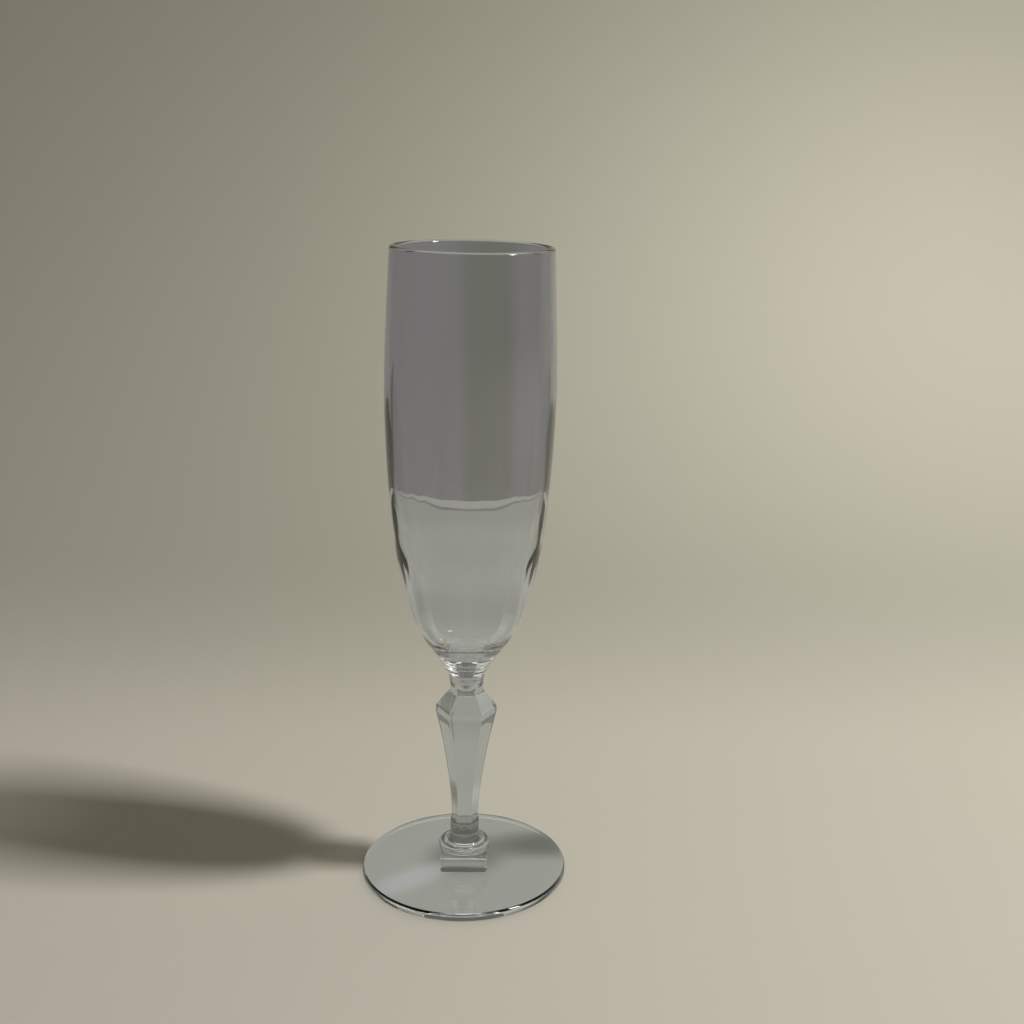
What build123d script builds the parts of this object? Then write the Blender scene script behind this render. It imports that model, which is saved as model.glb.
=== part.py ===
from build123d import *
import os

# Champagne flute with a hexagonal baluster stem on a round collar, a square plinth and a disc foot.
# Millimetres. Z up, origin at the centre of the foot's underside, plinth and stem flats facing -Y.

HEIGHT = 210.0

FOOT_R = 34.0
FOOT_T = 2.4
FOOT_EDGE_TOP = 1.1
FOOT_EDGE_BOTTOM = 0.5

PLINTH_SIDE = 15.6
PLINTH_TOP = 7.1
PLINTH_CORNER = 0.6
PLINTH_ARRIS = 0.35

COLLAR_R = 8.6
COLLAR_SEAT_R = 6.9
COLLAR_WIDEST_Z = 8.8
COLLAR_BAND_TOP = 10.4
COLLAR_STEP_R = 6.9
COLLAR_NECK_R = 4.8
COLLAR_GROOVE_R = 0.16
COLLAR_GROOVES = ((8.28, 8.0), (8.63, 8.8), (8.48, 9.6))
STEM_FOOT_Z = 17.8

STEM_FOOT_R = 4.42
STEM_WAIST_R = 4.55
STEM_MID_R = 6.1
STEM_GIRDLE_R = 10.3
STEM_MID_Z = 36.0
STEM_WAIST_Z = 23.0
STEM_UPPER_Z = 46.0
STEM_UPPER_R = 7.85
GIRDLE_LOW_Z = 56.4
GIRDLE_HIGH_Z = 58.2
GIRDLE_HIGH_R = 10.1
STEM_TOP_Z = 63.0
STEM_TOP_R = 6.1

NECK_SEAT_R = 5.6
NECK_WAIST_R = 5.48
NECK_WAIST_Z = 65.2
NECK_TOP_R = 6.0
NECK_FLATS_TOP_R = 7.6
BOWL_SEAT_Z = 69.6

BOWL_TULIP_R = 27.5
BOWL_TULIP_Z = 166.0
RIM_R = 26.2
RIM_WALL = 2.1
CAVITY_FLOOR_Z = 77.4
BEAD_R = 0.5
BEADS = ((6.35, 70.9), (7.6, 73.0), (9.0, 75.1))


def foot():
    disc = Pos(0, 0, FOOT_T / 2) * Cylinder(FOOT_R, FOOT_T)
    top_edge = disc.edges().filter_by(GeomType.CIRCLE).sort_by(Axis.Z)[-1]
    disc = fillet(top_edge, FOOT_EDGE_TOP)
    bottom_edge = disc.edges().filter_by(GeomType.CIRCLE).sort_by(Axis.Z)[0]
    return fillet(bottom_edge, FOOT_EDGE_BOTTOM)


def plinth():
    height = PLINTH_TOP - FOOT_T
    block = Pos(0, 0, FOOT_T + height / 2) * Box(PLINTH_SIDE, PLINTH_SIDE, height)
    block = fillet(block.edges().filter_by(Axis.Z), PLINTH_CORNER)
    top = block.faces().sort_by(Axis.Z)[-1]
    return fillet(top.edges(), PLINTH_ARRIS)


def collar():
    belly = Spline(
        (COLLAR_SEAT_R, PLINTH_TOP),
        (COLLAR_R, COLLAR_WIDEST_Z),
        (7.75, COLLAR_BAND_TOP),
        tangents=[(1.0, 0.3), (-1.0, 0.6)],
    )
    step = Line((7.75, COLLAR_BAND_TOP), (COLLAR_STEP_R, 10.6))
    cavetto = Spline(
        (COLLAR_STEP_R, 10.6),
        (5.55, 11.9),
        (COLLAR_NECK_R, 14.0),
        tangents=[(-1.0, 0.55), (0, 1)],
    )
    neck = Line((COLLAR_NECK_R, 14.0), (COLLAR_NECK_R, STEM_FOOT_Z))
    lid = Line((COLLAR_NECK_R, STEM_FOOT_Z), (0, STEM_FOOT_Z))
    spine = Line((0, STEM_FOOT_Z), (0, PLINTH_TOP))
    seat = Line((0, PLINTH_TOP), (COLLAR_SEAT_R, PLINTH_TOP))
    outline = Wire([belly, step, cavetto, neck, lid, spine, seat])
    body = revolve(Plane.XZ * make_face(outline), Axis.Z)
    for r, z in COLLAR_GROOVES:
        body = body - Pos(0, 0, z) * Torus(r, COLLAR_GROOVE_R)
    return body


def hexagon(radius, z):
    return Pos(0, 0, z) * RegularPolygon(radius, 6)


def stem():
    taper = loft(
        [
            hexagon(STEM_FOOT_R, STEM_FOOT_Z),
            hexagon(STEM_WAIST_R, STEM_WAIST_Z),
            hexagon(STEM_MID_R, STEM_MID_Z),
            hexagon(STEM_UPPER_R, STEM_UPPER_Z),
            hexagon(STEM_GIRDLE_R, GIRDLE_LOW_Z),
        ]
    )
    girdle = loft([hexagon(STEM_GIRDLE_R, GIRDLE_LOW_Z), hexagon(GIRDLE_HIGH_R, GIRDLE_HIGH_Z)], ruled=True)
    shoulder = loft([hexagon(GIRDLE_HIGH_R, GIRDLE_HIGH_Z), hexagon(STEM_TOP_R, STEM_TOP_Z)], ruled=True)
    return taper + girdle + shoulder


def neck():
    side = Spline(
        (NECK_SEAT_R, STEM_TOP_Z),
        (NECK_WAIST_R, NECK_WAIST_Z),
        (NECK_TOP_R, BOWL_SEAT_Z),
        tangents=[(-0.08, 1), (0.35, 1)],
    )
    lid = Line((NECK_TOP_R, BOWL_SEAT_Z), (0, BOWL_SEAT_Z))
    spine = Line((0, BOWL_SEAT_Z), (0, STEM_TOP_Z))
    seat = Line((0, STEM_TOP_Z), (NECK_SEAT_R, STEM_TOP_Z))
    round_neck = revolve(Plane.XZ * make_face(Wire([side, lid, spine, seat])), Axis.Z)
    flats = loft([hexagon(NECK_SEAT_R, STEM_TOP_Z), hexagon(NECK_FLATS_TOP_R, BOWL_SEAT_Z)], ruled=True)
    return round_neck & flats


def bowl():
    outer = Spline(
        (NECK_TOP_R, BOWL_SEAT_Z),
        (9.3, 75.0),
        (15.6, 84.0),
        (20.1, 96.0),
        (23.25, 110.0),
        (26.1, 134.5),
        (BOWL_TULIP_R, BOWL_TULIP_Z),
        (RIM_R, HEIGHT - RIM_WALL / 2),
        tangents=[(0.5, 1), (-0.035, 1)],
    )
    lip = ThreePointArc(
        (RIM_R, HEIGHT - RIM_WALL / 2),
        (RIM_R - RIM_WALL / 2, HEIGHT),
        (RIM_R - RIM_WALL, HEIGHT - RIM_WALL / 2),
    )
    inner = Spline(
        (RIM_R - RIM_WALL, HEIGHT - RIM_WALL / 2),
        (26.05, BOWL_TULIP_Z),
        (25.7, 150.0),
        (25.4, 142.0),
        (24.5, 129.0),
        (23.0, 119.0),
        (22.0, 113.5),
        (20.6, 108.5),
        (18.6, 101.5),
        (17.1, 94.5),
        (14.3, 85.2),
        (8.8, 79.2),
        (0, CAVITY_FLOOR_Z),
        tangents=[(0.05, -1), (-1, 0)],
    )
    spine = Line((0, CAVITY_FLOOR_Z), (0, BOWL_SEAT_Z))
    seat = Line((0, BOWL_SEAT_Z), (NECK_TOP_R, BOWL_SEAT_Z))
    glass = revolve(Plane.XZ * make_face(Wire([outer, lip, inner, spine, seat])), Axis.Z)
    for r, z in BEADS:
        glass = glass + Pos(0, 0, z) * Torus(r, BEAD_R)
    return glass


os.makedirs("parts", exist_ok=True)
export_step(foot(), "parts/foot.step")
export_step(plinth(), "parts/plinth.step")
export_step(collar(), "parts/collar.step")
export_step(stem(), "parts/stem.step")
export_step(neck(), "parts/neck.step")
export_step(bowl(), "parts/bowl.step")
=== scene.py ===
import math

import bpy
import numpy as np
from mathutils import Matrix, Vector


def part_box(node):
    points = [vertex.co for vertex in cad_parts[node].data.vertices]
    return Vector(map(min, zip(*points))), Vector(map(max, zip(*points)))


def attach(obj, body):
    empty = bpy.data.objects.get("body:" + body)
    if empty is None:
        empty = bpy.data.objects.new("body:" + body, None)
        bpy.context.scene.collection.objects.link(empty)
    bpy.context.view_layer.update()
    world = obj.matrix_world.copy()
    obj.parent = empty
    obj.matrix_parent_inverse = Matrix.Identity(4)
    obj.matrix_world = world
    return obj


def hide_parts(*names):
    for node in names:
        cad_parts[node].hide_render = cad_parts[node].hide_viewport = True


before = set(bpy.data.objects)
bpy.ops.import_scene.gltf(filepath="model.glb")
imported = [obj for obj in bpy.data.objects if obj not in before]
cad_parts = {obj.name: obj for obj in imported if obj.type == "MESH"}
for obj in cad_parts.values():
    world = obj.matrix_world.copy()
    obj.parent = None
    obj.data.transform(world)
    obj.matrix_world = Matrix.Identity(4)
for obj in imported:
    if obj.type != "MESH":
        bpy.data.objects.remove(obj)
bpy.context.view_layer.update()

MM = 0.001
N = 240  # points in every ring of every piece
GLASS_IOR = 1.52

scene = bpy.context.scene


# ---------------------------------------------------------------- camera

CAMERA_DISTANCE = 0.44266
CAMERA_HEIGHT = 0.24644
PITCH = math.radians(9.788)
YAW = math.radians(3.627)
ROLL = math.radians(1.407)
TURN = math.radians(1.5)
FOCAL_MM = 49.57
SHIFT = (-0.0459, -0.1357)


def turned(v):
    return Matrix.Rotation(TURN, 3, "Z") @ Vector(v)


def make_camera():
    data = bpy.data.cameras.new("camera")
    data.sensor_width = 36.0
    data.lens = FOCAL_MM
    data.shift_x, data.shift_y = SHIFT
    data.clip_start, data.clip_end = 0.01, 30.0
    cam = bpy.data.objects.new("camera", data)
    scene.collection.objects.link(cam)
    ahead = turned((math.sin(YAW) * math.cos(PITCH), math.cos(YAW) * math.cos(PITCH), -math.sin(PITCH)))
    right = turned((math.cos(YAW), -math.sin(YAW), 0.0))
    up = right.cross(ahead)
    across = math.cos(ROLL) * right + math.sin(ROLL) * up
    upright = -math.sin(ROLL) * right + math.cos(ROLL) * up
    eye = turned((0.0, -CAMERA_DISTANCE, CAMERA_HEIGHT))
    cam.matrix_world = Matrix((
        (across.x, upright.x, -ahead.x, eye.x),
        (across.y, upright.y, -ahead.y, eye.y),
        (across.z, upright.z, -ahead.z, eye.z),
        (0.0, 0.0, 0.0, 1.0),
    ))
    scene.camera = cam
    return cam


make_camera()


# ---------------------------------------------------------------- materials


def new_material(name):
    mat = bpy.data.materials.new(name)
    mat.use_nodes = True
    nt = mat.node_tree
    nt.nodes.clear()
    return mat, nt


HAZE_ROUGHNESS = 0.008


def glass_material(name, seed, shade, wave, wave_scale, stretch=(1, 1, 1), clear=1.0):
    """Clear glass with faint waviness and a little haze where it was handled.

    shade is how much lamp light it lets through to what is behind it, wave the strength of its ripples,
    and clear how much of its colour is kept each time that a ray crosses its surface.
    """
    mat, nt = new_material(name)
    nodes, links = nt.nodes, nt.links
    out = nodes.new("ShaderNodeOutputMaterial")
    glass = nodes.new("ShaderNodeBsdfPrincipled")
    glass.inputs["Transmission Weight"].default_value = 1.0
    glass.inputs["IOR"].default_value = GLASS_IOR
    where = nodes.new("ShaderNodeTexCoord")
    place = nodes.new("ShaderNodeMapping")
    place.inputs["Location"].default_value = (seed * 0.37, seed * 0.11, seed * 0.23)
    place.inputs["Scale"].default_value = stretch
    links.new(where.outputs["Object"], place.inputs["Vector"])

    haze = nodes.new("ShaderNodeTexNoise")
    haze.inputs["Scale"].default_value = 90.0
    haze.inputs["Detail"].default_value = 5.0
    links.new(place.outputs["Vector"], haze.inputs["Vector"])
    haze_ramp = nodes.new("ShaderNodeMapRange")
    haze_ramp.inputs["From Min"].default_value = 0.5
    haze_ramp.inputs["From Max"].default_value = 0.8
    haze_ramp.inputs["To Min"].default_value = 0.0
    haze_ramp.inputs["To Max"].default_value = HAZE_ROUGHNESS
    links.new(haze.outputs["Fac"], haze_ramp.inputs["Value"])
    links.new(haze_ramp.outputs["Result"], glass.inputs["Roughness"])

    tint = nodes.new("ShaderNodeTexNoise")
    tint.inputs["Scale"].default_value = 25.0
    links.new(place.outputs["Vector"], tint.inputs["Vector"])
    tint_mix = nodes.new("ShaderNodeMix")
    tint_mix.data_type = "RGBA"
    tint_mix.inputs["A"].default_value = (0.965 * clear, 0.972 * clear, 0.955 * clear, 1.0)
    tint_mix.inputs["B"].default_value = (0.985 * clear, 0.985 * clear, 0.975 * clear, 1.0)
    links.new(tint.outputs["Fac"], tint_mix.inputs["Factor"])
    links.new(tint_mix.outputs["Result"], glass.inputs["Base Color"])

    wavy = nodes.new("ShaderNodeTexNoise")
    wavy.inputs["Scale"].default_value = wave_scale
    wavy.inputs["Detail"].default_value = 1.5
    links.new(place.outputs["Vector"], wavy.inputs["Vector"])
    bump = nodes.new("ShaderNodeBump")
    bump.inputs["Strength"].default_value = wave
    bump.inputs["Distance"].default_value = 0.002
    links.new(wavy.outputs["Fac"], bump.inputs["Height"])
    links.new(bump.outputs["Normal"], glass.inputs["Normal"])

    lamp = nodes.new("ShaderNodeBsdfTransparent")
    lamp.inputs["Color"].default_value = (shade, shade, shade * 0.99, 1.0)
    path = nodes.new("ShaderNodeLightPath")
    mix = nodes.new("ShaderNodeMixShader")
    links.new(path.outputs["Is Shadow Ray"], mix.inputs[0])
    links.new(glass.outputs[0], mix.inputs[1])
    links.new(lamp.outputs[0], mix.inputs[2])
    links.new(mix.outputs[0], out.inputs["Surface"])
    return mat


def joint_material():
    """For the caps where two pieces of the same glass are fused: nothing shows there."""
    mat, nt = new_material("fused_joint")
    out = nt.nodes.new("ShaderNodeOutputMaterial")
    clear = nt.nodes.new("ShaderNodeBsdfTransparent")
    nt.links.new(clear.outputs[0], out.inputs["Surface"])
    return mat


FUSED = joint_material()


def seam_material(name, ring_r, ring_width, peak, cover, grain):
    """A fused joint with specks of rough seam left in it.

    ring_r and ring_width are the ring that peak applies to, in metres; cover applies beyond it. Both are
    levels of the noise below which a speck shows. grain is the noise's scale.
    """
    mat, nt = new_material(name)
    nodes, links = nt.nodes, nt.links
    out = nodes.new("ShaderNodeOutputMaterial")
    clear = nodes.new("ShaderNodeBsdfTransparent")
    rough = nodes.new("ShaderNodeBsdfGlossy")
    rough.inputs["Color"].default_value = (0.95, 0.95, 0.95, 1.0)
    rough.inputs["Roughness"].default_value = 0.08
    where = nodes.new("ShaderNodeTexCoord")
    axis = nodes.new("ShaderNodeVectorMath")
    axis.operation = "MULTIPLY"
    axis.inputs[1].default_value = (1.0, 1.0, 0.0)
    links.new(where.outputs["Object"], axis.inputs[0])
    radius = nodes.new("ShaderNodeVectorMath")
    radius.operation = "LENGTH"
    links.new(axis.outputs["Vector"], radius.inputs[0])
    off = nodes.new("ShaderNodeMath")
    off.operation = "SUBTRACT"
    off.inputs[1].default_value = ring_r
    links.new(radius.outputs["Value"], off.inputs[0])
    away = nodes.new("ShaderNodeMath")
    away.operation = "ABSOLUTE"
    links.new(off.outputs[0], away.inputs[0])
    near = nodes.new("ShaderNodeMapRange")
    near.inputs["From Min"].default_value = 0.0
    near.inputs["From Max"].default_value = ring_width
    near.inputs["To Min"].default_value = peak
    near.inputs["To Max"].default_value = cover
    links.new(away.outputs[0], near.inputs["Value"])
    specks = nodes.new("ShaderNodeTexNoise")
    specks.inputs["Scale"].default_value = grain
    specks.inputs["Detail"].default_value = 2.0
    links.new(where.outputs["Object"], specks.inputs["Vector"])
    gap = nodes.new("ShaderNodeMath")
    gap.operation = "LESS_THAN"
    links.new(specks.outputs["Fac"], gap.inputs[0])
    links.new(near.outputs["Result"], gap.inputs[1])
    bump = nodes.new("ShaderNodeBump")
    bump.inputs["Strength"].default_value = 1.0
    bump.inputs["Distance"].default_value = 0.0006
    links.new(specks.outputs["Fac"], bump.inputs["Height"])
    links.new(bump.outputs["Normal"], rough.inputs["Normal"])
    mix = nodes.new("ShaderNodeMixShader")
    links.new(gap.outputs[0], mix.inputs[0])
    links.new(clear.outputs[0], mix.inputs[1])
    links.new(rough.outputs[0], mix.inputs[2])
    links.new(mix.outputs[0], out.inputs["Surface"])
    return mat


NECK_SEAM = seam_material("neck_seam", 0.0056, 0.0016, 0.5, 0.36, 1600.0)
PLINTH_SEAM = seam_material("plinth_seam", 0.0, 0.02, 0.30, 0.33, 1300.0)


# ---------------------------------------------------------------- curves and rings


def spline(points, start, end, count):
    """A smooth curve through points, leaving along start and arriving along end, as count + 1 points."""
    p = np.array(points, float)
    t = np.concatenate([[0.0], np.cumsum(np.linalg.norm(np.diff(p, axis=0), axis=1))])
    n = len(p)
    a = np.zeros((n, n))
    b = np.zeros((n, 2))
    a[0, 0] = a[-1, -1] = 1.0
    b[0] = np.array(start, float) / np.linalg.norm(start)
    b[-1] = np.array(end, float) / np.linalg.norm(end)
    for i in range(1, n - 1):
        h0, h1 = t[i] - t[i - 1], t[i + 1] - t[i]
        a[i, i - 1], a[i, i], a[i, i + 1] = h1, 2 * (h0 + h1), h0
        b[i] = 3 * (h0 * (p[i + 1] - p[i]) / h1 + h1 * (p[i] - p[i - 1]) / h0)
    m = np.linalg.solve(a, b)
    out = []
    for s in np.linspace(0.0, t[-1], count + 1):
        i = min(int(np.searchsorted(t, s, side="right")) - 1, n - 2)
        h = t[i + 1] - t[i]
        u = (s - t[i]) / h
        out.append(
            (2 * u**3 - 3 * u**2 + 1) * p[i] + (u**3 - 2 * u**2 + u) * h * m[i]
            + (-2 * u**3 + 3 * u**2) * p[i + 1] + (u**3 - u**2) * h * m[i + 1]
        )
    return [tuple(q) for q in out]


def arc(centre, radius, start, end, count):
    """Points of a circular arc in the (r, z) plane, angles in degrees."""
    out = []
    for i in range(count + 1):
        a = math.radians(start + (end - start) * i / count)
        out.append((centre[0] + radius * math.cos(a), centre[1] + radius * math.sin(a)))
    return out


def circle(radius):
    out = []
    for k in range(N):
        a = 2 * math.pi * k / N
        out.append((radius * math.cos(a), radius * math.sin(a)))
    return out


def polygon(radius, sides, first, rounding, arc_steps):
    """A regular polygon of that corner radius with rounded corners, N points, more of them at the corners."""
    per = N // sides
    half = math.pi / sides
    inner = radius - rounding / math.cos(half)
    corners = []
    for j in range(sides):
        a = first + 2 * math.pi * j / sides
        c = (inner * math.cos(a), inner * math.sin(a))
        corners.append((c, a))
    ring = [None] * N
    for j in range(sides):
        (cx, cy), a = corners[j]
        for i in range(-arc_steps, arc_steps + 1):
            t = a + half * i / arc_steps
            ring[(j * per + i) % N] = (cx + rounding * math.cos(t), cy + rounding * math.sin(t))
        (nx, ny), b = corners[(j + 1) % sides]
        p = (cx + rounding * math.cos(a + half), cy + rounding * math.sin(a + half))
        q = (nx + rounding * math.cos(b - half), ny + rounding * math.sin(b - half))
        steps = per - 2 * arc_steps
        for i in range(1, steps):
            u = i / steps
            u = 0.5 + 0.5 * math.copysign(abs(2 * u - 1) ** 0.7, 2 * u - 1)
            ring[(j * per + arc_steps + i) % N] = (p[0] + (q[0] - p[0]) * u, p[1] + (q[1] - p[1]) * u)
    return ring


def hexagon(radius, rounding=0.3):
    return polygon(radius, 6, 0.0, rounding, 5)


def blended(a, b, s):
    return [(p[0] * (1 - s) + q[0] * s, p[1] * (1 - s) + q[1] * s) for p, q in zip(a, b)]


class Shell:
    """A closed mesh made of rings of N points, in millimetres."""

    def __init__(self):
        self.verts = []
        self.faces = []
        self.slots = []
        self.sharp = set()
        self.last = None

    def ring(self, xy, z):
        start = len(self.verts)
        for k, (x, y) in enumerate(xy):
            zz = z[k] if isinstance(z, (list, tuple)) else z
            self.verts.append((x * MM, y * MM, zz * MM))
        return list(range(start, start + N))

    def bridge(self, low, high, slot=0):
        for k in range(N):
            n = (k + 1) % N
            self.faces.append((low[k], low[n], high[n], high[k]))
            self.slots.append(slot)

    def go(self, xy, z, slot=0):
        new = self.ring(xy, z)
        if self.last is not None:
            self.bridge(self.last, new, slot)
        self.last = new
        return new

    def crease(self, ring):
        for k in range(N):
            self.sharp.add(frozenset((ring[k], ring[(k + 1) % N])))

    def close(self, ring, z, up, slot):
        """A cap over a ring, as a fan to its centre."""
        zs = z * MM
        c = len(self.verts)
        self.verts.append((0.0, 0.0, zs))
        for k in range(N):
            n = (k + 1) % N
            self.faces.append((ring[k], ring[n], c) if up else (ring[n], ring[k], c))
            self.slots.append(slot)

    def build(self, name, materials):
        mesh = bpy.data.meshes.new(name)
        mesh.from_pydata(self.verts, [], self.faces)
        for m in materials:
            mesh.materials.append(m)
        mesh.polygons.foreach_set("material_index", self.slots)
        mesh.polygons.foreach_set("use_smooth", [True] * len(self.faces))
        for e in mesh.edges:
            if frozenset(e.vertices) in self.sharp:
                e.use_edge_sharp = True
        mesh.update()
        obj = bpy.data.objects.new(name, mesh)
        scene.collection.objects.link(obj)
        return obj


def place(obj, node):
    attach(obj, "root")
    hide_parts(node)
    return obj


# ---------------------------------------------------------------- levels, from the frame

FOOT_LOW, FOOT_HIGH = (v.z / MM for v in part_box("foot"))
FOOT_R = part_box("foot")[1].x / MM
PLINTH_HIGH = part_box("plinth")[1].z / MM
PLINTH_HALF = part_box("plinth")[1].x / MM
COLLAR_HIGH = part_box("collar")[1].z / MM
STEM_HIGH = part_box("stem")[1].z / MM
NECK_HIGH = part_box("neck")[1].z / MM

SEAT_R = 6.9  # where the collar stands on the plinth
SQUARE_ROUNDING = 0.6
NECK_SEAT_R = 5.6
HEXAGON_ROUNDING = 0.6  # where the stem meets the neck


def square(half, rounding):
    return polygon(half * math.sqrt(2.0), 4, math.radians(45.0), rounding, 8)


def circle45(radius):
    """A circle whose points start at 45 degrees, as the square's do, for rings that meet the square."""
    turn = math.radians(45.0)
    out = []
    for k in range(N):
        a = 2 * math.pi * k / N + turn
        out.append((radius * math.cos(a), radius * math.sin(a)))
    return out


# ---------------------------------------------------------------- foot


TOP_ROUND = 1.1
LOW_ROUND = 0.5
FOOT_INNER_R = 11.5  # just outside the plinth's corners
UNDERSIDE_R = 16.0


def make_foot():
    s = Shell()
    seat = s.ring(square(PLINTH_HALF, SQUARE_ROUNDING), FOOT_HIGH)
    s.close(seat, FOOT_HIGH, True, 1)
    s.last = seat
    rings = []
    for t in (0.12, 0.3, 0.5, 0.7, 0.86):
        r = FOOT_INNER_R + (FOOT_R - TOP_ROUND - FOOT_INNER_R) * t
        between = blended(square(PLINTH_HALF, SQUARE_ROUNDING), circle45(r), min(1.0, 0.35 + t))
        rings.append((between, FOOT_HIGH))
    rings.append((circle45(FOOT_R - TOP_ROUND - 0.35), FOOT_HIGH))
    for r, z in arc((FOOT_R - TOP_ROUND, FOOT_HIGH - TOP_ROUND), TOP_ROUND, 90, 0, 12):
        rings.append((circle45(r), z))
    for r, z in arc((FOOT_R - LOW_ROUND, FOOT_LOW + LOW_ROUND), LOW_ROUND, 0, -90, 8):
        rings.append((circle45(r), z))
    rings.append((circle45(FOOT_R - LOW_ROUND - 0.3), FOOT_LOW))
    rings.append((circle45(UNDERSIDE_R), FOOT_LOW))
    for xy, z in rings:
        new = s.ring(xy, z)
        s.bridge(new, s.last)
        s.last = new
    s.close(s.last, FOOT_LOW, False, 0)
    mat = glass_material("glass_foot", 1, 0.97, wave=0.03, wave_scale=45.0)
    return place(s.build("foot_disc", [mat, FUSED]), "foot")


# ---------------------------------------------------------------- plinth


ARRIS = 0.35
CORNER_LEAST = 0.3  # the square's corners are never rounded less than this


def make_plinth():
    s = Shell()
    sq = square(PLINTH_HALF, SQUARE_ROUNDING)
    low = s.ring(sq, FOOT_HIGH)
    s.close(low, FOOT_HIGH, False, 2)
    s.crease(low)
    s.last = low
    s.go(sq, FOOT_HIGH + 0.3)
    s.go(sq, PLINTH_HIGH - ARRIS - 0.25)
    for r, z in arc((-ARRIS, PLINTH_HIGH - ARRIS), ARRIS, 0, 90, 6):
        s.go(square(PLINTH_HALF + r, max(CORNER_LEAST, SQUARE_ROUNDING + r)), z)
    s.go(square(PLINTH_HALF - ARRIS - 0.2, CORNER_LEAST), PLINTH_HIGH)
    seat = s.go(circle45(SEAT_R), PLINTH_HIGH)
    s.close(seat, PLINTH_HIGH, True, 1)
    mat = glass_material("glass_plinth", 2, 0.6, wave=0.03, wave_scale=160.0, clear=0.66)
    return place(s.build("plinth_block", [mat, FUSED, PLINTH_SEAM]), "plinth")


# ---------------------------------------------------------------- collar

BELLY = [(SEAT_R, PLINTH_HIGH), (8.6, 8.8), (7.75, 10.4)]
STEP = [BELLY[-1], (6.9, 10.6)]
CAVETTO = [STEP[-1], (5.55, 11.9), (4.8, 14.0)]
COLLAR_NECK_R, COLLAR_NECK_Z = CAVETTO[-1]
COLLAR_LIP = 0.2
GROOVE_LEVELS = (8.0, 8.8, 9.6)
GROOVE_R = 0.16
RIPPLE_Z = 16.4  # the middle of the uneven stretch, where the stem was pressed on
RIPPLE_SIZE = 0.07
STEM_FOOT_R = 4.42


def rippled(ring, z, size):
    """A ring made slightly uneven, as where hot glass was pressed on."""
    out = []
    for k, (x, y) in enumerate(ring):
        a = 2 * math.pi * k / N
        wave = math.sin(11 * a + 2.1 * z)
        wave += 0.7 * math.sin(17 * a - 3.7 * z + 1.0)
        wave += 0.5 * math.sin(29 * a + 5.3 * z)
        k_r = 1.0 + size * wave / math.hypot(x, y)
        out.append((x * k_r, y * k_r))
    return out


def groove_depth(z):
    """How deep the turned lines cut at height z."""
    depth = 0.0
    for level in GROOVE_LEVELS:
        d = abs(z - level) / GROOVE_R
        if d < 1.6:
            depth = max(depth, GROOVE_R * 1.3 * math.exp(-(d * 1.2) ** 2))
    return depth


def make_collar():
    belly = spline(BELLY, (1.0, 0.3), (-1.0, 0.6), 110)
    step = spline(STEP, (-1.0, 0.235), (-1.0, 0.235), 6)
    cavetto = spline(CAVETTO, (-1.0, 0.55), (0.0, 1.0), 26)
    sunk = [(r - groove_depth(z), z) for r, z in belly]
    top = COLLAR_HIGH
    profile = sunk + step[1:] + cavetto[1:]
    s = Shell()
    low = s.ring(circle45(SEAT_R), PLINTH_HIGH)
    s.close(low, PLINTH_HIGH, False, 1)
    s.crease(low)
    s.last = low
    for r, z in profile[1:]:
        s.go(circle45(r), z)
    steps = 14
    for i in range(1, steps + 1):
        z = COLLAR_NECK_Z + (top - 0.25 - COLLAR_NECK_Z) * i / steps
        size = RIPPLE_SIZE * math.exp(-((z - RIPPLE_Z) / 1.0) ** 2)
        s.go(rippled(circle45(COLLAR_NECK_R), z, size), z)
    for r, z in arc((COLLAR_NECK_R - COLLAR_LIP, top - COLLAR_LIP), COLLAR_LIP, 0, 90, 4):
        s.go(circle45(r), z)
    shoulder = s.last
    seat = s.ring(hexagon(STEM_FOOT_R), top)
    # The hexagon's points start at 0 degrees and these rings' at 45, an eighth of a turn apart.
    off = N // 8
    for k in range(N):
        n = (k + 1) % N
        s.faces.append((shoulder[k], shoulder[n], seat[(n + off) % N], seat[(k + off) % N]))
        s.slots.append(0)
    s.close(seat, top, True, 1)
    mat = glass_material("glass_collar", 3, 0.45, wave=0.02, wave_scale=200.0, clear=0.54)
    return place(s.build("collar_ring", [mat, FUSED]), "collar")


# ---------------------------------------------------------------- stem

RISE = [(STEM_FOOT_R, 17.8), (4.55, 23.0), (6.1, 36.0), (7.85, 46.0), (10.3, 56.4)]
GIRDLE = [
    (10.13, 55.7), (10.22, 56.1), (10.27, 56.4), (10.28, 56.7), (10.25, 57.2),
    (10.18, 57.7), (10.06, 58.05), (9.9, 58.35), (9.65, 58.7),
]
GIRDLE_ROUNDING = 0.8
STEM_TOP_R = 6.1


def make_stem():
    s = Shell()
    rise = spline(RISE, (0.0, 1.0), (0.24, 1.0), 44)
    low = s.ring(hexagon(rise[0][0]), COLLAR_HIGH)
    s.close(low, COLLAR_HIGH, False, 1)
    s.crease(low)
    s.last = low
    for r, z in rise[1:-1]:
        s.go(hexagon(r, 0.3 + 0.012 * (z - RISE[0][1])), z)
    for r, z in GIRDLE:
        s.go(hexagon(r, GIRDLE_ROUNDING), z)
    edge_r, edge_z = GIRDLE[-1]
    steps = 8
    for i in range(1, steps + 1):
        u = i / steps
        rounding = GIRDLE_ROUNDING - 0.2 * u
        s.go(hexagon(edge_r + (STEM_TOP_R - edge_r) * u, rounding), edge_z + (STEM_HIGH - edge_z) * u)
    s.crease(s.last)
    seat = s.go(hexagon(NECK_SEAT_R, HEXAGON_ROUNDING), STEM_HIGH)
    s.crease(seat)
    s.close(seat, STEM_HIGH, True, 1)
    mat = glass_material("glass_stem", 4, 0.4, wave=0.03, wave_scale=120.0, clear=0.96)
    return place(s.build("stem_hexagon", [mat, FUSED]), "stem")


# ---------------------------------------------------------------- neck


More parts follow.
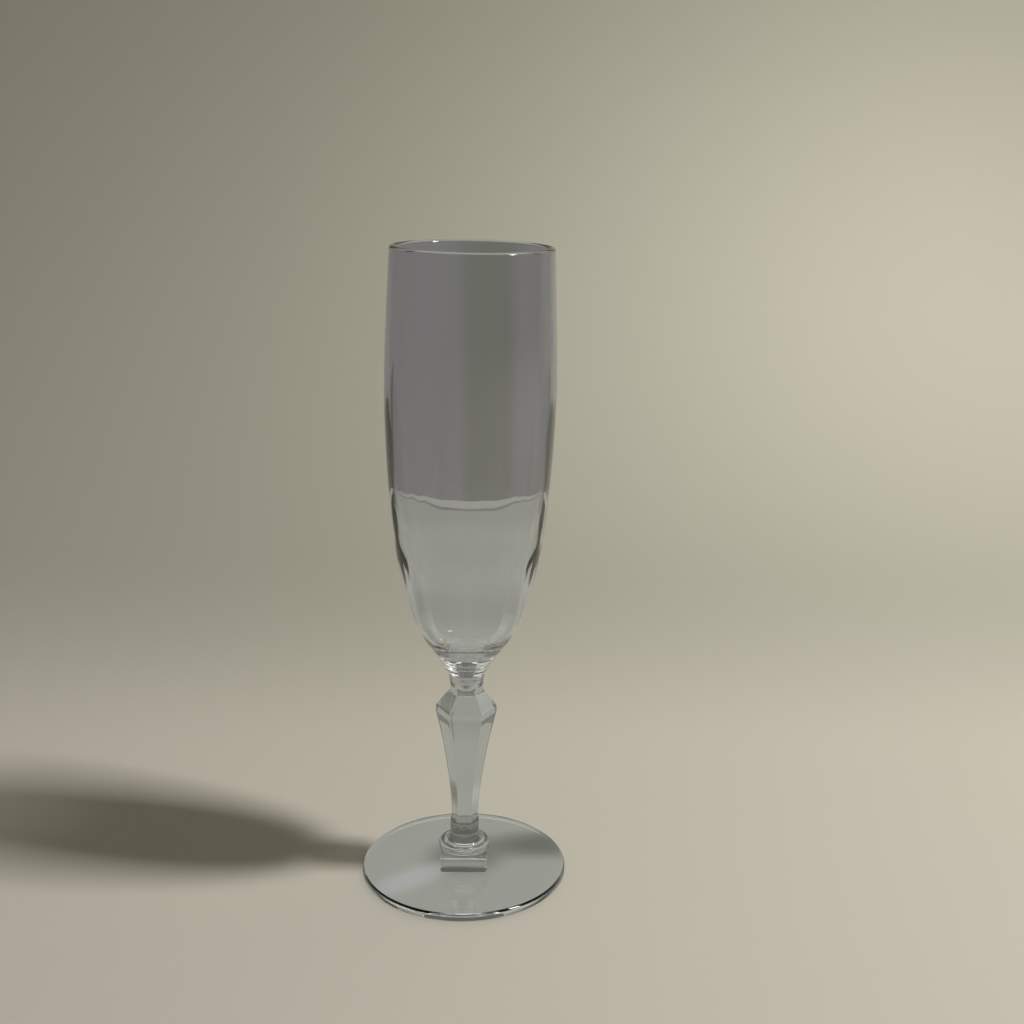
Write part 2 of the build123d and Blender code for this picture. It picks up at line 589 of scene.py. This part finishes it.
def make_neck():
    s = Shell()
    low = s.ring(hexagon(NECK_SEAT_R, HEXAGON_ROUNDING), STEM_HIGH)
    s.close(low, STEM_HIGH, False, 1)
    s.crease(low)
    s.last = low
    steps = 24
    for i in range(1, steps + 1):
        u = i / steps
        z = STEM_HIGH + (NECK_HIGH - STEM_HIGH) * u
        r = 5.45 + 0.55 * u ** 2.2
        flare = 0.16 * math.exp(-(u * 6.6 / 0.55) ** 2)
        hexa = hexagon(NECK_SEAT_R + flare, HEXAGON_ROUNDING)
        k = min(1.0, max(0.0, u * 1.7 - 0.12))
        k = k * k * (3 - 2 * k)
        s.go(blended(hexa, circle(r), k), z)
    s.crease(s.last)
    s.close(s.last, NECK_HIGH, True, 1)
    mat = glass_material("glass_neck", 5, 0.4, wave=0.02, wave_scale=120.0)
    return place(s.build("neck_knop", [mat, FUSED]), "neck")


# ---------------------------------------------------------------- bowl

OUTER = [
    (6.0, 69.6), (9.3, 75.0), (15.6, 84.0), (20.1, 96.0),
    (23.25, 110.0), (26.1, 134.5), (27.5, 166.0), (26.2, 208.95),
]
INNER = [
    (24.1, 208.95), (26.05, 166.0), (25.7, 150.0), (25.4, 142.0), (24.5, 129.0), (23.0, 119.0), (22.0, 113.5),
    (20.6, 108.5), (18.6, 101.5), (17.1, 94.5), (14.3, 85.2), (8.8, 79.2), (0.0, 77.4),
]
BEADS = (70.9, 73.0, 75.1)
BEAD_RISE = 0.22
BEAD_SPREAD = 0.42
FLOOR_R = 8.0  # the cavity's floor, inside this, has a rough ring
FLOOR_RINGS = 40
FLOOR_RIDGE_R = 5.9
PANELS = 12


def panel_depth(theta, z):
    """How far the inside wall comes in: shallow upright panels with a soft ridge between each two."""
    fade = min(1.0, max(0.0, (202.0 - z) / 50.0)) * min(1.0, max(0.0, (z - 80.5) / 10.0))
    wave = 0.5 - 0.5 * math.cos(PANELS * theta)
    return fade * (0.05 * wave + 0.05 * wave ** 5)


def cavity_floor(r, z):
    """Heights round one ring of the cavity's floor: a low ridge with rough glass inside it."""
    ridge = 0.35 * math.exp(-((r - FLOOR_RIDGE_R) / 0.35) ** 2)
    rough = 0.12 * min(1.0, max(0.0, (6.3 - r) / 0.8)) * min(1.0, r / 1.5)
    heights = []
    for k in range(N):
        a = 2 * math.pi * k / N
        wave = math.sin(13 * a + 3.1 * r)
        wave += 0.8 * math.sin(7 * a - 4.3 * r + 0.6)
        wave += 0.6 * math.sin(23 * a + 6.1 * r)
        heights.append(z + ridge + rough * wave)
    return heights


def make_bowl():
    s = Shell()
    outer = spline(OUTER, (0.5, 1.0), (-0.035, 1.0), 420)
    inner = spline(INNER, (0.05, -1.0), (-1.0, 0.0), 220)
    low = s.ring(circle(outer[0][0]), NECK_HIGH)
    s.close(low, NECK_HIGH, False, 1)
    s.crease(low)
    s.last = low
    for r, z in outer[1:]:
        bead = sum(BEAD_RISE * math.exp(-((z - level) / BEAD_SPREAD) ** 2) for level in BEADS)
        s.go(circle(r + bead), z)
    lip_r = (outer[-1][0] - inner[0][0]) / 2
    for r, z in arc((outer[-1][0] - lip_r, outer[-1][1]), lip_r, 0, 180, 18)[1:-1]:
        s.go(circle(r), z)
    for r, z in inner[:-1]:
        if r < FLOOR_R:
            continue
        ring = []
        for k in range(N):
            a = 2 * math.pi * k / N
            rr = r - panel_depth(a, z) * min(1.0, r / 12.0)
            ring.append((rr * math.cos(a), rr * math.sin(a)))
        s.go(ring, z)
    bottom = [(r, z) for r, z in reversed(inner) if r < FLOOR_R]
    bottom_r = [r for r, z in bottom]
    bottom_z = [z for r, z in bottom]
    for i in range(1, FLOOR_RINGS):
        r = FLOOR_R * (1 - i / FLOOR_RINGS)
        z = float(np.interp(r, bottom_r, bottom_z))
        s.go(circle(r), cavity_floor(r, z))
    s.close(s.last, inner[-1][1], True, 0)
    mat = glass_material("glass_bowl", 6, 0.5, wave=0.015, wave_scale=40.0, stretch=(1, 1, 0.4))
    return place(s.build("bowl_flute", [mat, NECK_SEAM]), "bowl")


make_foot()
make_plinth()
make_collar()
make_stem()
make_neck()
make_bowl()


# ---------------------------------------------------------------- stage


def stage_mesh(name, verts, faces, mat):
    mesh = bpy.data.meshes.new(name)
    mesh.from_pydata(verts, [], faces)
    mesh.materials.append(mat)
    mesh.update()
    obj = bpy.data.objects.new(name, mesh)
    scene.collection.objects.link(obj)
    return obj


def only_seen_through_glass(obj):
    """Hides a staging object from every ray but those that have passed through glass."""
    obj.visible_camera = False
    obj.visible_diffuse = False
    obj.visible_glossy = False
    obj.visible_shadow = False
    obj.visible_volume_scatter = False
    return obj


def backdrop(name, profile, half_width, mat):
    """A sheet swept along x from (y, z) points: floor in front, curving up into a wall behind."""
    verts, faces = [], []
    for y, z in profile:
        verts += [(-half_width, y, z), (half_width, y, z)]
    for i in range(len(profile) - 1):
        faces.append((2 * i, 2 * i + 1, 2 * i + 3, 2 * i + 2))
    obj = stage_mesh(name, verts, faces, mat)
    for p in obj.data.polygons:
        p.use_smooth = True
    return obj


FLOOR_Z = -0.0003  # just under the glass, so that the two don't coincide
CURVE_START, CURVE_R = 0.13, 0.36
HALF_WIDTH = 2.0
sheet = [(-2.0, FLOOR_Z), (-0.5, FLOOR_Z), (0.0, FLOOR_Z)]
sheet += arc((CURVE_START, FLOOR_Z + CURVE_R), CURVE_R, -90, 0, 24)
sheet.append((CURVE_START + CURVE_R, 1.0))


def painted_falloff_material(lit_tone, shaded_tone, near_y, far_y):
    """Matt paint that turns from one tone to the other along y, a painted falloff of light: lighter in front,
    painted shade further back.
    """
    mat, nt = new_material("painted_falloff_floor")
    nodes, links = nt.nodes, nt.links
    out = nodes.new("ShaderNodeOutputMaterial")
    paint = nodes.new("ShaderNodeBsdfPrincipled")
    paint.inputs["Roughness"].default_value = 0.85
    paint.inputs["Specular IOR Level"].default_value = 0.15
    links.new(paint.outputs[0], out.inputs["Surface"])
    where = nodes.new("ShaderNodeTexCoord")
    split = nodes.new("ShaderNodeSeparateXYZ")
    links.new(where.outputs["Object"], split.inputs[0])
    along = nodes.new("ShaderNodeMapRange")
    along.interpolation_type = "SMOOTHSTEP"
    along.inputs["From Min"].default_value = near_y
    along.inputs["From Max"].default_value = far_y
    links.new(split.outputs["Y"], along.inputs["Value"])
    tone = nodes.new("ShaderNodeMix")
    tone.data_type = "RGBA"
    tone.inputs["A"].default_value = (*lit_tone, 1.0)
    tone.inputs["B"].default_value = (*shaded_tone, 1.0)
    links.new(along.outputs["Result"], tone.inputs["Factor"])
    links.new(tone.outputs["Result"], paint.inputs["Base Color"])
    return mat


# The floor is painted lighter round the glass and darker behind it and up the wall: a painted pool of light
# and painted shade, added to what the lamps give.
PAINTED_LIT_TONE = (0.60, 0.573, 0.495)
PAINTED_SHADE_TONE = (0.43, 0.416, 0.347)
floor = backdrop("floor", sheet, HALF_WIDTH, painted_falloff_material(PAINTED_LIT_TONE, PAINTED_SHADE_TONE, 0.09, 0.27))
floor.visible_transmission = False


# What the glass shows of the room: glowing cards that only rays through glass can see. They aren't lights.


def tone_material(name, base, patches):
    """A glowing tone with soft-edged patches of other tones: (colour, centre, radii, turn in degrees)."""
    mat, nt = new_material(name)
    nodes, links = nt.nodes, nt.links
    out = nodes.new("ShaderNodeOutputMaterial")
    glow = nodes.new("ShaderNodeEmission")
    links.new(glow.outputs[0], out.inputs["Surface"])
    if not patches:
        glow.inputs["Color"].default_value = (*base, 1.0)
        return mat
    where = nodes.new("ShaderNodeTexCoord")
    last = None
    for colour, centre, radii, turn in patches:
        spot = nodes.new("ShaderNodeMapping")
        spot.vector_type = "TEXTURE"
        spot.inputs["Location"].default_value = centre
        spot.inputs["Rotation"].default_value = (0.0, 0.0, math.radians(turn))
        spot.inputs["Scale"].default_value = radii
        links.new(where.outputs["Object"], spot.inputs["Vector"])
        ball = nodes.new("ShaderNodeTexGradient")
        ball.gradient_type = "SPHERICAL"
        links.new(spot.outputs["Vector"], ball.inputs["Vector"])
        soft = nodes.new("ShaderNodeMapRange")
        soft.interpolation_type = "SMOOTHSTEP"
        soft.inputs["From Max"].default_value = 0.8
        links.new(ball.outputs["Fac"], soft.inputs["Value"])
        mix = nodes.new("ShaderNodeMix")
        mix.data_type = "RGBA"
        if last is None:
            mix.inputs["A"].default_value = (*base, 1.0)
        else:
            links.new(last, mix.inputs["A"])
        mix.inputs["B"].default_value = (*colour, 1.0)
        links.new(soft.outputs["Result"], mix.inputs["Factor"])
        last = mix.outputs["Result"]
    links.new(last, glow.inputs["Color"])
    return mat


def seen_through_glass(name, verts, base, patches=()):
    """A flat card that only rays leaving the glass can see."""
    card = stage_mesh(name, verts, [(0, 1, 2, 3)], tone_material(name, base, patches))
    return only_seen_through_glass(card)


def upright(x0, x1, y, z0, z1):
    """Corners of a card that faces along y."""
    return [(x0, y, z0), (x1, y, z0), (x1, y, z1), (x0, y, z1)]


def level(x0, x1, y0, y1, z):
    """Corners of a card that lies flat."""
    return [(x0, y0, z), (x1, y0, z), (x1, y1, z), (x0, y1, z)]


TABLE_EDGE = 0.413
WIDE = 1.2
GROUND_Z = -0.00012
GROUND = (0.335, 0.34, 0.305)
SHADED = (0.13, 0.135, 0.115)
# The ground seen through the glass: an even tone with painted shadows, painted shade and painted light on it.
seen_through_glass(
    "ground_with_painted_light_and_shade",
    level(-WIDE, WIDE, -WIDE, TABLE_EDGE, GROUND_Z),
    GROUND,
    [
        # darker towards the far edge
        ((0.272, 0.278, 0.248), (0.0, 0.42, 0.0), (0.30, 0.22, 1.0), 0.0),
        # painted shadow: a dark band to the right of the stem
        (SHADED, (0.034, 0.014, 0.0), (0.050, 0.014, 1.0), 6.0),
        # painted shade round the foot of the plinth
        ((0.15, 0.155, 0.13), (0.0, 0.004, 0.0), (0.018, 0.016, 1.0), 0.0),
        # painted light: a lighter diagonal band in front, to the left
        ((0.42, 0.42, 0.42), (-0.018, -0.011, 0.0), (0.022, 0.009, 1.0), 40.0),
        # painted shade behind, to the right
        ((0.16, 0.165, 0.135), (0.056, 0.062, 0.0), (0.045, 0.035, 1.0), 35.0),
        # painted light: a lighter patch behind, to the left
        ((0.42, 0.42, 0.41), (-0.055, 0.060, 0.0), (0.035, 0.035, 1.0), 0.0),
    ],
)


def back_strip(name, low, high, base, patches=()):
    """A strip across the far side of the table, from height low to high."""
    seen_through_glass(name, upright(-WIDE, WIDE, TABLE_EDGE, low, high), base, patches)


PALE_LOW, PALE_HIGH = 0.0022, 0.0078
WALL_MIDDLE, WALL_TOP = 0.19, 0.50
MIDDLE_PATCH = ((0.148, 0.150, 0.128), (0.004, 0.0, 0.09), (0.042, 9.0, 9.0), 0.0)
# A dark line where the table meets the strips behind it: a painted shadow in that gap.
back_strip("strip_painted_gap_shadow", GROUND_Z, PALE_LOW, (0.18, 0.18, 0.16))
back_strip("strip_pale", PALE_LOW, PALE_HIGH, (0.315, 0.315, 0.29))
back_strip("surround", PALE_HIGH, WALL_MIDDLE, (0.185, 0.178, 0.182), [MIDDLE_PATCH])
back_strip("surround_top", WALL_MIDDLE, WALL_TOP, (0.13, 0.13, 0.12))
front = upright(-WIDE, WIDE, -TABLE_EDGE, GROUND_Z, WALL_TOP)
seen_through_glass("surround_front", front, (0.17, 0.17, 0.165))


def side_card(name, side, x, y0, y1, z0, z1, colour):
    verts = [(side * x, y0, z0), (side * x, y1, z0), (side * x, y1, z1), (side * x, y0, z1)]
    seen_through_glass(name, verts, colour)


WINDOW_TONE = (1.15, 1.15, 1.15)
for side, tag in ((-1, "left"), (1, "right")):
    side_card("black_" + tag, side, 0.11, 0.07, 0.34, 0.066, 0.125, (0.02, 0.02, 0.02))
    side_card("wall_" + tag, side, 0.36, -0.40, 0.40, 0.0, 0.24, (0.15, 0.148, 0.145))
    ceiling = level(side * 0.13, side * 0.52, 0.12, 0.41, 0.30)
    seen_through_glass("window_" + tag, ceiling, WINDOW_TONE)
    behind = upright(side * 0.12, side * 0.50, 0.412, 0.22, 0.30)
    seen_through_glass("window_back_" + tag, behind, WINDOW_TONE)

seen_through_glass("window_over", level(-0.15, 0.15, 0.15, 0.40, 0.40), (1.6, 1.6, 1.6))


EDGE_SHADE_Z = -0.00006


def crescent(name, inner_r, outer_r, first, last, z, mat, count=64):
    """A flat crescent from angle first to last in degrees, widest in the middle."""
    verts, faces = [], []
    for k in range(count + 1):
        u = k / count
        a = math.radians(first + (last - first) * u)
        r0 = outer_r - (outer_r - inner_r) * math.sin(math.pi * u) ** 0.5
        verts += [(r0 * math.cos(a), r0 * math.sin(a), z), (outer_r * math.cos(a), outer_r * math.sin(a), z)]
    for k in range(count):
        faces.append((2 * k, 2 * k + 1, 2 * k + 3, 2 * k + 2))
    return stage_mesh(name, verts, faces, mat)


edge_tone = tone_material("edge_shade", (0.115, 0.115, 0.12), ())
only_seen_through_glass(crescent("edge_shade", 0.0328, 0.0352, 175.0, 365.0, EDGE_SHADE_Z, edge_tone))


# ---------------------------------------------------------------- lights


def area(name, location, target, size, power, colour=(1.0, 0.98, 0.95)):
    """A square lamp that faces its target."""
    data = bpy.data.lights.new(name, "AREA")
    data.shape = "RECTANGLE"
    data.size = size
    data.size_y = size
    data.energy = power
    data.color = colour
    obj = bpy.data.objects.new(name, data)
    obj.location = location
    obj.rotation_mode = "QUATERNION"
    obj.rotation_quaternion = (Vector(target) - Vector(location)).to_track_quat("-Z", "Y")
    obj.visible_camera = False
    scene.collection.objects.link(obj)
    return obj


KEY_DISTANCE = 1.5
KEY_HEIGHT = math.radians(54.0)
KEY_TURN = math.radians(-12.0)
key_at = Vector((
    KEY_DISTANCE * math.cos(KEY_HEIGHT) * math.cos(KEY_TURN),
    KEY_DISTANCE * math.cos(KEY_HEIGHT) * math.sin(KEY_TURN),
    KEY_DISTANCE * math.sin(KEY_HEIGHT),
))
area("key", key_at, (0, 0, 0), 0.19, 17.6, colour=(1.0, 0.985, 0.95))
wash = area("wall_wash", (0.55, -0.05, 0.55), (0.21, 0.42, 0.15), 0.20, 0.17, colour=(1.0, 0.99, 0.96))
wash.data.spread = math.radians(48.0)
area("glint", (-0.45, 0.60, 0.75), (0, 0, 0.1), 0.05, 0.25)

world = bpy.data.worlds.new("world")
scene.world = world
world.use_nodes = True
world.node_tree.nodes["Background"].inputs["Color"].default_value = (1.0, 0.96, 0.88, 1.0)
world.node_tree.nodes["Background"].inputs["Strength"].default_value = 0.09

scene.view_settings.view_transform = "Standard"
scene.cycles.max_bounces = 32
scene.cycles.transmission_bounces = 32
scene.cycles.glossy_bounces = 16
scene.cycles.transparent_max_bounces = 48
scene.cycles.caustics_refractive = False
scene.cycles.caustics_reflective = False
